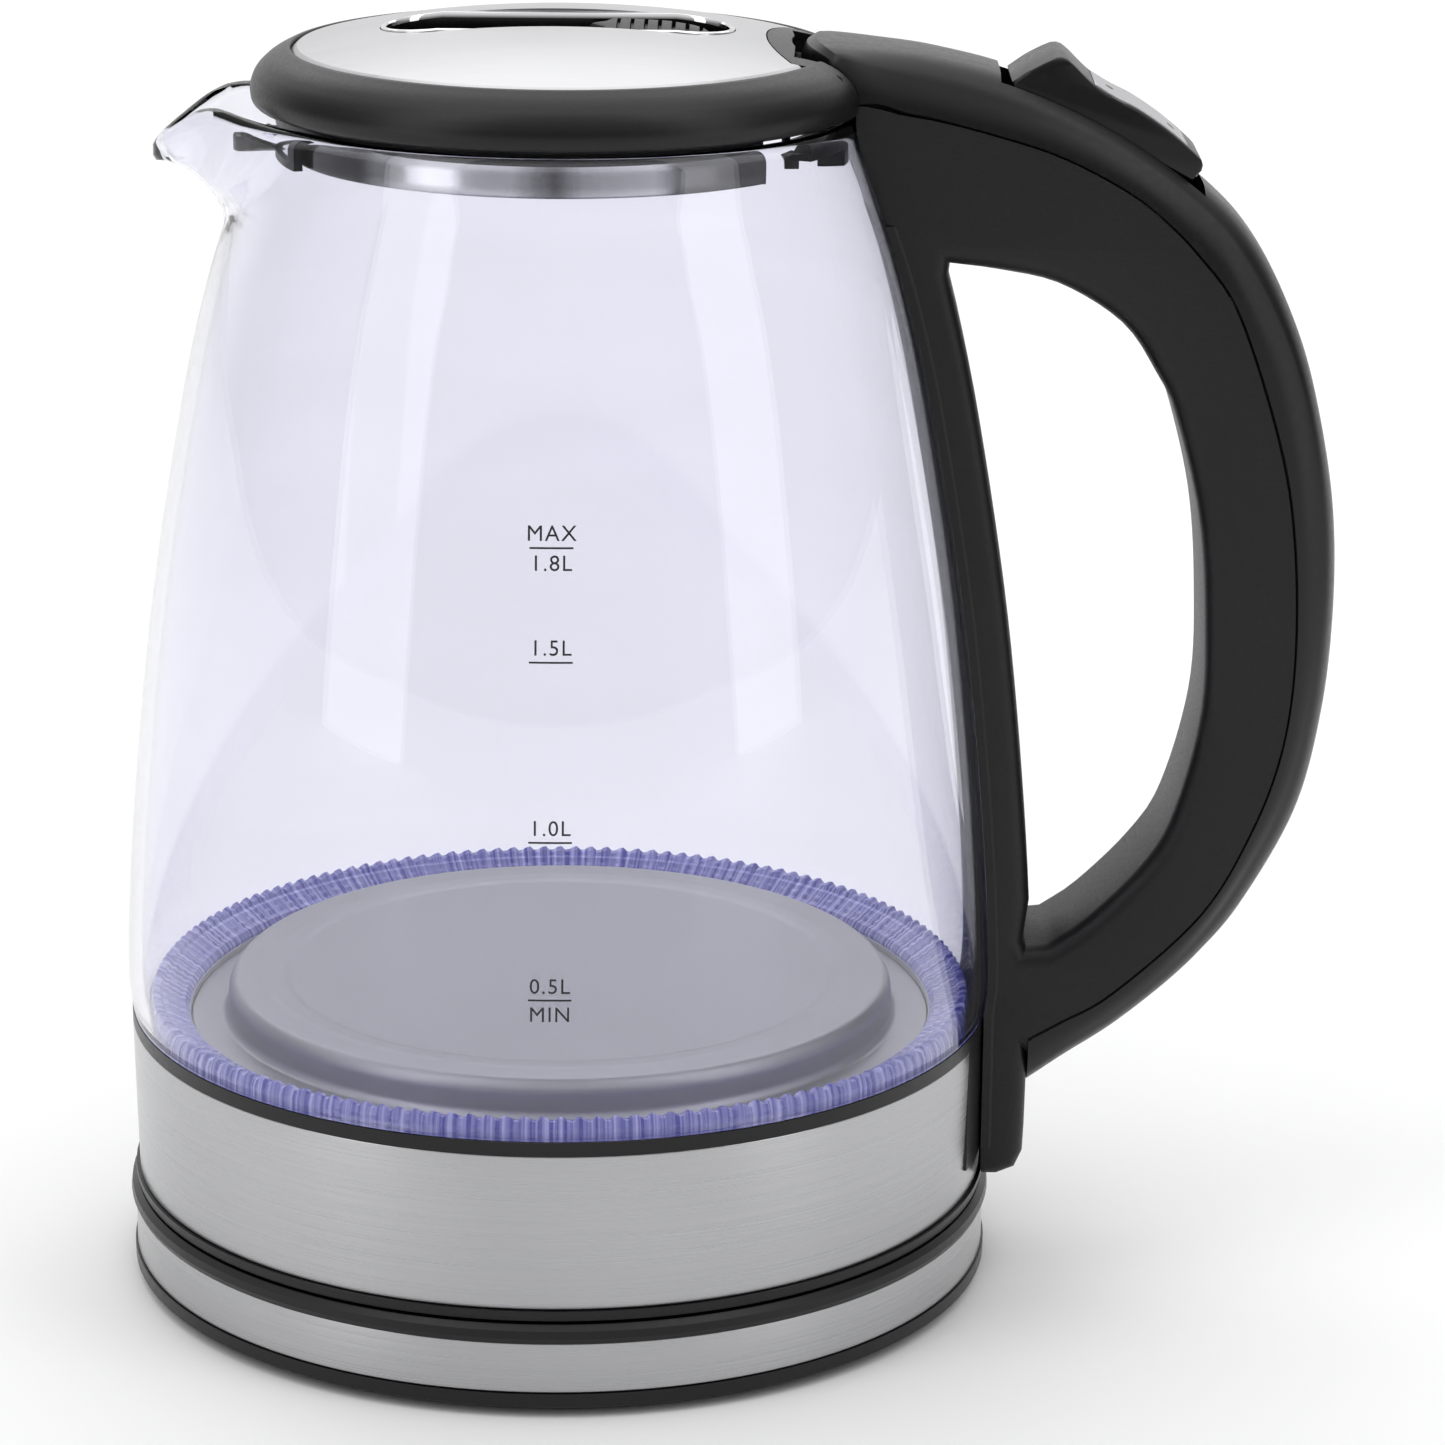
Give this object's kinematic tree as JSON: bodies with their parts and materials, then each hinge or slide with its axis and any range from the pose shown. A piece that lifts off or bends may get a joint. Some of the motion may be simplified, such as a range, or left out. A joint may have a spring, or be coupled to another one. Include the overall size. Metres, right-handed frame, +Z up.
{
  "type": "electric kettle",
  "caption": "Cordless electric kettle: glass jug with spout, steel-banded foot, loop handle with rocker switch and hinged lid, on a round power base.",
  "frame": {"origin": "on the kettle's axis, on the plane that it stands on", "axes": "+Z up along the kettle's axis; the handle is towards +X and the spout towards -X"},
  "size_m": [0.2222, 0.1633, 0.2347],
  "materials": {
    "black_plastic": "fine satin texture",
    "steel_band": "brushed round the kettle",
    "polished_steel": "polished",
    "satin_steel": "fine satin",
    "glass": "clear, polished",
    "light_clear": "clear, blue lit, ribbed",
    "rubber": "matt",
    "silicone": "translucent matt",
    "brass": "bright",
    "aluminium": "plain",
    "dark_metal": "dull",
    "board": "board",
    "silver_plastic": "satin silver",
    "control_plastic": "natural",
    "lead_plastic": "insulated lead"
  },
  "bodies": {
    "power_base": {"foot_ring": "rubber", "base_bottom_cover": "black_plastic", "base_steel_band": "steel_band", "base_top_cover": "black_plastic", "base_socket": "black_plastic", "base_contacts": "brass", "cord_gland": "rubber", "base_leads": "lead_plastic", "base_screws": "dark_metal"},
    "ring_contact": {"base_ring_contact": "brass"},
    "jug": {"jug_steel_band": "steel_band", "jug_base_shell": "black_plastic", "jug_bottom_cover": "black_plastic", "jug_trim_ring": "black_plastic", "glass_seal": "silicone", "heater_plate": "satin_steel", "heat_spreader": "aluminium", "heating_element": "satin_steel", "control_unit": "control_plastic", "contact_pins": "brass", "dry_boil_discs": "satin_steel", "light_ring": "light_clear", "light_board": "board", "lights": "board", "foot_screws": "dark_metal", "handle_screws": "dark_metal", "glass_body": "glass", "handle_outer_cover": "black_plastic", "handle_inner_shell": "black_plastic", "rim_clamp": "black_plastic", "handle_leads": "lead_plastic", "hinge_pin": "polished_steel", "rocker_pin": "polished_steel", "steam_switch": "control_plastic", "steam_disc": "satin_steel", "lever_pin": "polished_steel"},
    "lid": {"lid_rim": "black_plastic", "lid_plate": "steel_band", "lid_base": "black_plastic", "lid_recess": "polished_steel", "lid_inner_cap": "polished_steel", "lid_inner_ring": "black_plastic", "lid_screws": "dark_metal", "strainer_frame": "black_plastic", "strainer_mesh": "polished_steel"},
    "trigger": {"lid_trigger": "black_plastic", "latch_slide": "black_plastic"},
    "rocker": {"rocker": "black_plastic", "rocker_insert": "silver_plastic"},
    "switch_lever": {"switch_lever": "control_plastic"}
  },
  "joints": [
    {"name": "jug_turn", "type": "hinge", "parent": "power_base", "child": "ring_contact", "pos_m": [0, 0, 0.018], "axis": [0, 0, 1], "continuous": true},
    {"name": "jug_lift", "type": "slide", "parent": "ring_contact", "child": "jug", "axis": [0, 0, 1], "range_m": [0, 0.08]},
    {"name": "lid_hinge", "type": "hinge", "parent": "jug", "child": "lid", "pos_m": [0.048, 0, 0.2255], "axis": [0, 1, 0], "range_deg": [0, 70]},
    {"name": "trigger_slide", "type": "slide", "parent": "lid", "child": "trigger", "axis": [-1, 0, 0], "range_m": [0, 0.003], "stiffness_N_per_m": 800, "springref_m": -0.001},
    {"name": "rocker_tip", "type": "hinge", "parent": "jug", "child": "rocker", "pos_m": [0.097, 0, 0.213], "axis": [0, 1, 0], "range_deg": [-10, 0]},
    {"name": "lever_tip", "type": "hinge", "parent": "jug", "child": "switch_lever", "pos_m": [0.099, 0, 0.205], "axis": [0, 1, 0], "range_deg": [-1, 13]}
  ],
  "couplings": [
    {"joint": "lever_tip", "follows": "rocker_tip", "ratio": -1.2}
  ]
}
